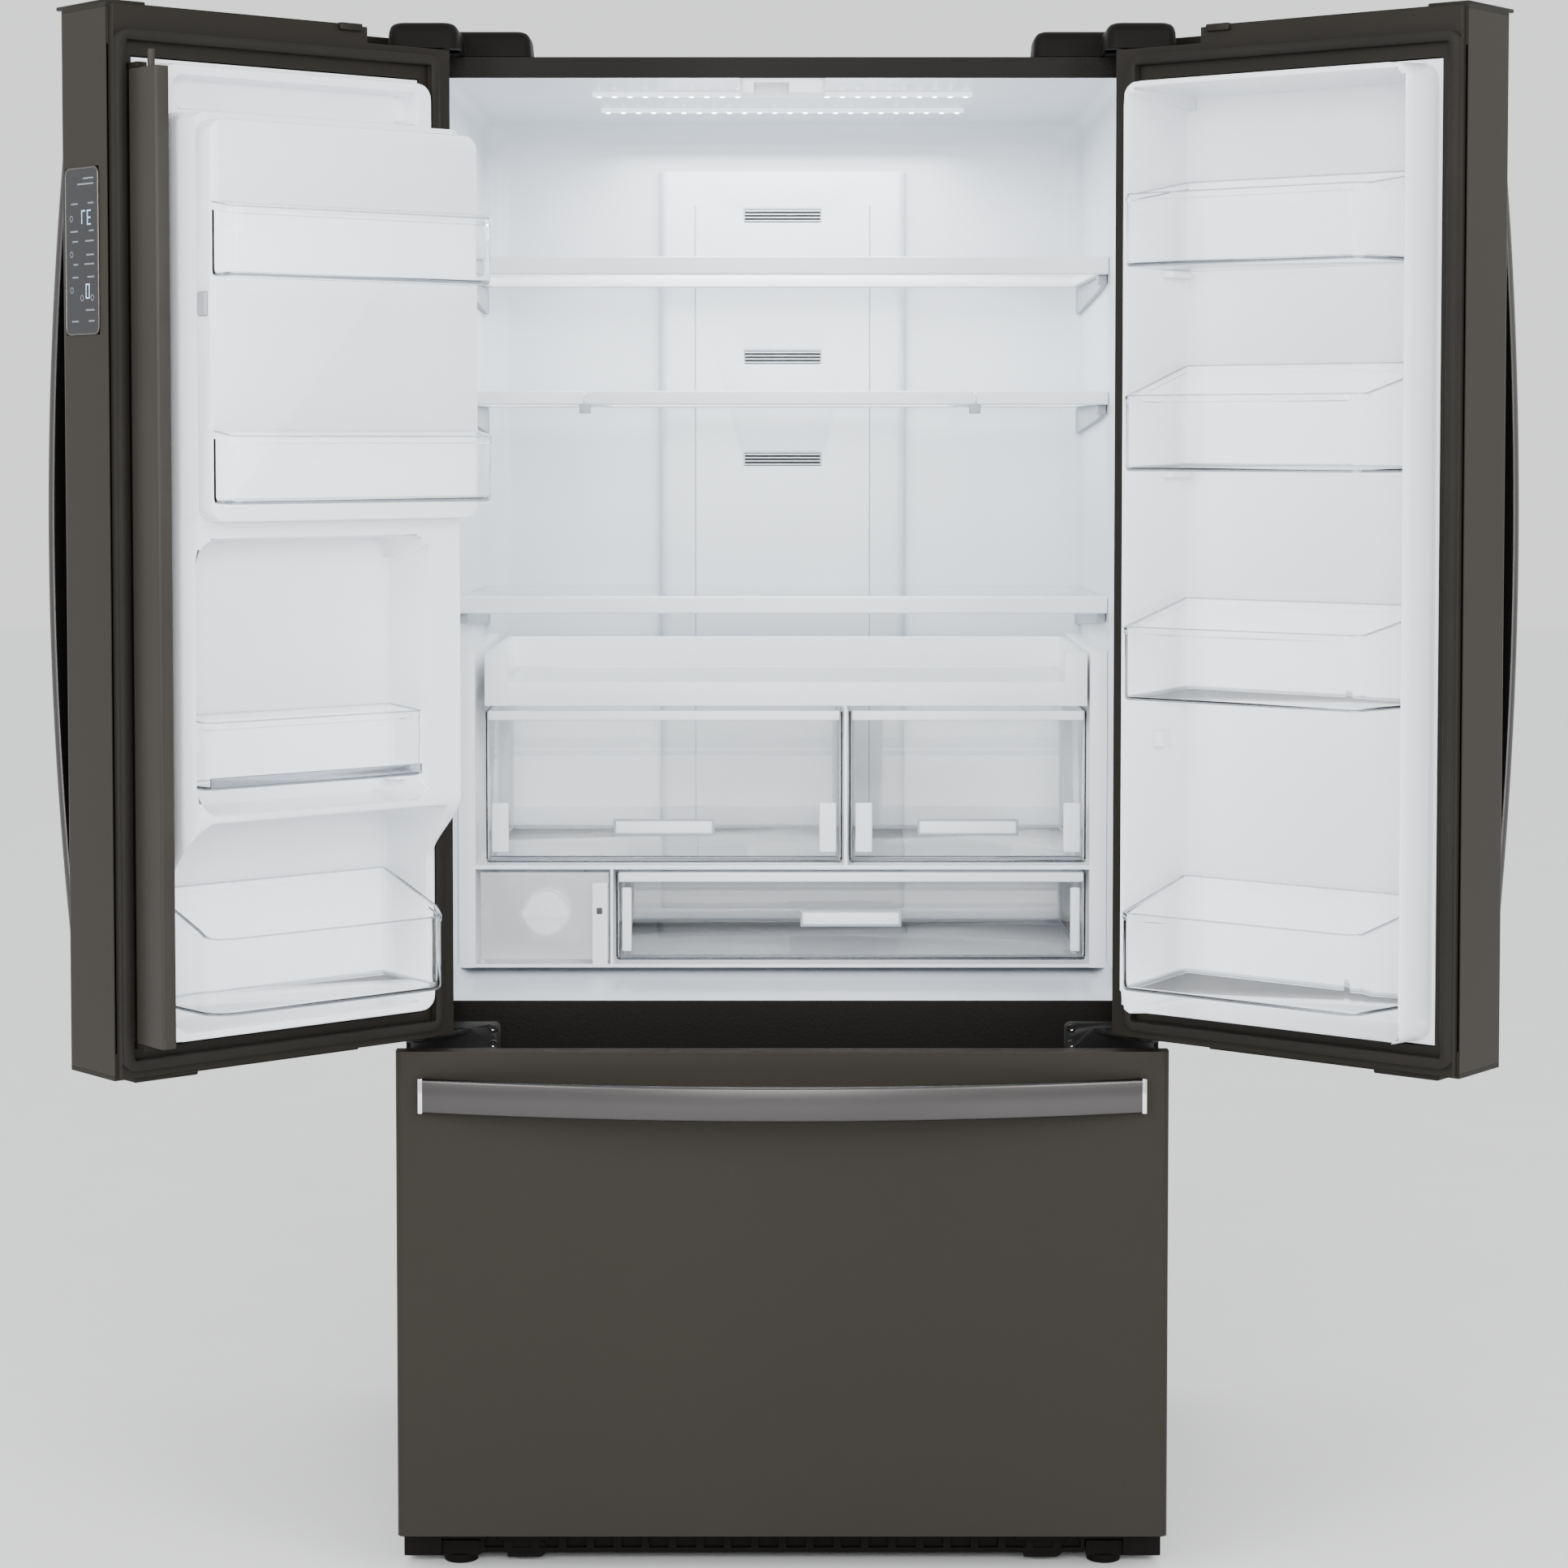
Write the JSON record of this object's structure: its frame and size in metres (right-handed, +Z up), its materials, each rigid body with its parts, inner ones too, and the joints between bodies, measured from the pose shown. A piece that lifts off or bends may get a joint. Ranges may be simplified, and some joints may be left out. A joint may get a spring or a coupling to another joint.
{
  "type": "french door refrigerator",
  "caption": "French door refrigerator with open side-by-side upper doors, shelves, bins and crispers, and a bottom freezer drawer with a bowed handle.",
  "frame": {"origin": "on the floor under the middle of the cabinet box, doors not counted", "axes": "+Z up, +Y towards the back of the cabinet, +X to the right as seen from the front"},
  "size_m": [1.6596, 1.2043, 1.817],
  "materials": {
    "steel_dark": "dark finger-mark resistant stainless steel",
    "cabinet_paint": "near-black textured paint",
    "liner": "white vacuum-formed plastic",
    "white": "white moulded plastic",
    "clear": "clear polystyrene",
    "glass": "toughened glass",
    "trim_dark": "dark moulded trim",
    "rubber": "flexible magnetic gasket",
    "chrome": "polished",
    "brushed": "dark brushed steel",
    "galv": "zinc plated steel",
    "black_metal": "black enamel",
    "foam": "rigid foam",
    "alu": "bare fins",
    "black_glass": "black touch glass",
    "lens": "light diffuser"
  },
  "bodies": {
    "cabinet": {"cabinet_shell": "cabinet_paint", "front_frame": "cabinet_paint", "insulation_boards": "foam", "fridge_liner": "liner", "freezer_liner": "liner", "air_duct_cover": "white", "ceiling_lights": "lens", "flap_guide": "white", "evaporator_cover": "white", "evaporator": "alu", "base_tray": "galv", "levelling_feet": "black_metal", "toe_grille": "trim_dark", "compressor": "black_metal", "condenser": "black_metal", "top_hinges": "black_metal", "hinge_covers": "trim_dark", "centre_hinges": "black_metal", "hinge_screws": "chrome", "shelf_frames": "white", "shelf_glasses": "glass", "crisper_frame": "white", "freezer_outer_slides": "galv"},
    "left_door": {"left_door_skin": "steel_dark", "left_door_trim": "trim_dark", "left_door_liner": "liner", "left_door_gasket": "rubber", "left_door_handle": "brushed", "control_panel": "black_glass", "left_door_bins": "clear", "dispenser_housing": "trim_dark", "ice_bucket": "clear"},
    "ice_door": {"ice_door": "liner", "ice_door_bins": "clear"},
    "ice_door_latch": {"ice_door_latch": "white"},
    "dispenser_paddle": {"dispenser_paddle": "trim_dark"},
    "mullion_flap": {"mullion_flap": "trim_dark"},
    "right_door": {"right_door_skin": "steel_dark", "right_door_trim": "trim_dark", "right_door_liner": "liner", "right_door_gasket": "rubber", "right_door_handle": "brushed", "right_door_bins": "clear"},
    "pullout_tray": {"pullout_tray": "white", "pullout_tray_glass": "glass"},
    "left_crisper": {"left_crisper": "clear"},
    "right_crisper": {"right_crisper": "clear"},
    "deli_drawer": {"deli_drawer": "clear"},
    "filter_cover": {"filter_cover": "white"},
    "water_filter": {"water_filter": "white"},
    "freezer_drawer": {"freezer_front": "steel_dark", "freezer_inner_panel": "white", "freezer_gasket": "rubber", "freezer_handle": "brushed", "freezer_basket": "clear"},
    "freezer_middle_slides": {"freezer_middle_slides": "galv"},
    "freezer_upper_basket": {"freezer_upper_basket": "clear"},
    "rear_rollers": {"rear_rollers": "black_metal"},
    "condenser_fan": {"condenser_fan": "trim_dark"},
    "evaporator_fan": {"evaporator_fan": "white"}
  },
  "joints": [
    {"name": "left_door_hinge", "type": "hinge", "parent": "cabinet", "child": "left_door", "pos_m": [-0.431, -0.427, 1.2], "axis": [0, 0, -1], "range_deg": [-139, 0]},
    {"name": "right_door_hinge", "type": "hinge", "parent": "cabinet", "child": "right_door", "pos_m": [0.431, -0.427, 1.2], "axis": [0, 0, 1], "range_deg": [-141.5, 0]},
    {"name": "flap_hinge", "type": "hinge", "parent": "left_door", "child": "mullion_flap", "pos_m": [-0.69083, -0.74694, 1.2], "axis": [0, 0, 1], "range_deg": [-90, 0]},
    {"name": "ice_door_hinge", "type": "hinge", "parent": "left_door", "child": "ice_door", "pos_m": [-0.3542, -0.57555, 1.45], "axis": [0, 0, 1], "range_deg": [0, 100]},
    {"name": "ice_latch_press", "type": "slide", "parent": "ice_door", "child": "ice_door_latch", "axis": [0.7547, 0.6561, 0], "range_m": [0, 0.004], "stiffness_N_per_m": 300, "springref_m": -0.002},
    {"name": "paddle_hinge", "type": "hinge", "parent": "left_door", "child": "dispenser_paddle", "pos_m": [-0.5844, -0.563, 1.19], "axis": [-0.7547, -0.6561, 0], "range_deg": [0, 8], "stiffness_Nm_per_rad": 0.6, "springref_deg": -17.19},
    {"name": "pullout_tray_slide", "type": "slide", "parent": "cabinet", "child": "pullout_tray", "axis": [0, -1, 0], "range_m": [0, 0.3]},
    {"name": "left_crisper_slide", "type": "slide", "parent": "cabinet", "child": "left_crisper", "axis": [0, -1, 0], "range_m": [0, 0.3]},
    {"name": "right_crisper_slide", "type": "slide", "parent": "cabinet", "child": "right_crisper", "axis": [0, -1, 0], "range_m": [0, 0.3]},
    {"name": "deli_drawer_slide", "type": "slide", "parent": "cabinet", "child": "deli_drawer", "axis": [0, -1, 0], "range_m": [0, 0.3]},
    {"name": "filter_cover_hinge", "type": "hinge", "parent": "cabinet", "child": "filter_cover", "pos_m": [-0.3735, -0.19, 0.74], "axis": [0, 0, -1], "range_deg": [0, 95]},
    {"name": "water_filter_turn", "type": "hinge", "parent": "cabinet", "child": "water_filter", "pos_m": [-0.297, -0.1, 0.74], "axis": [0, 1, 0], "range_deg": [0, 90]},
    {"name": "freezer_drawer_slide", "type": "slide", "parent": "cabinet", "child": "freezer_drawer", "axis": [0, -1, 0], "range_m": [0, 0.42]},
    {"name": "middle_slides_travel", "type": "slide", "parent": "cabinet", "child": "freezer_middle_slides", "axis": [0, -1, 0], "range_m": [0, 0.21]},
    {"name": "upper_basket_slide", "type": "slide", "parent": "cabinet", "child": "freezer_upper_basket", "axis": [0, -1, 0], "range_m": [0, 0.252]},
    {"name": "roller_spin", "type": "hinge", "parent": "cabinet", "child": "rear_rollers", "pos_m": [0, 0.32, 0.02], "axis": [1, 0, 0], "continuous": true},
    {"name": "condenser_fan_spin", "type": "hinge", "parent": "cabinet", "child": "condenser_fan", "pos_m": [-0.04, 0.25, 0.17], "axis": [1, 0, 0], "continuous": true},
    {"name": "evaporator_fan_spin", "type": "hinge", "parent": "cabinet", "child": "evaporator_fan", "pos_m": [0, 0.142, 0.47], "axis": [0, 1, 0], "continuous": true}
  ],
  "couplings": [
    {"joint": "middle_slides_travel", "follows": "freezer_drawer_slide", "ratio": 0.5},
    {"joint": "upper_basket_slide", "follows": "freezer_drawer_slide", "ratio": 0.6}
  ]
}
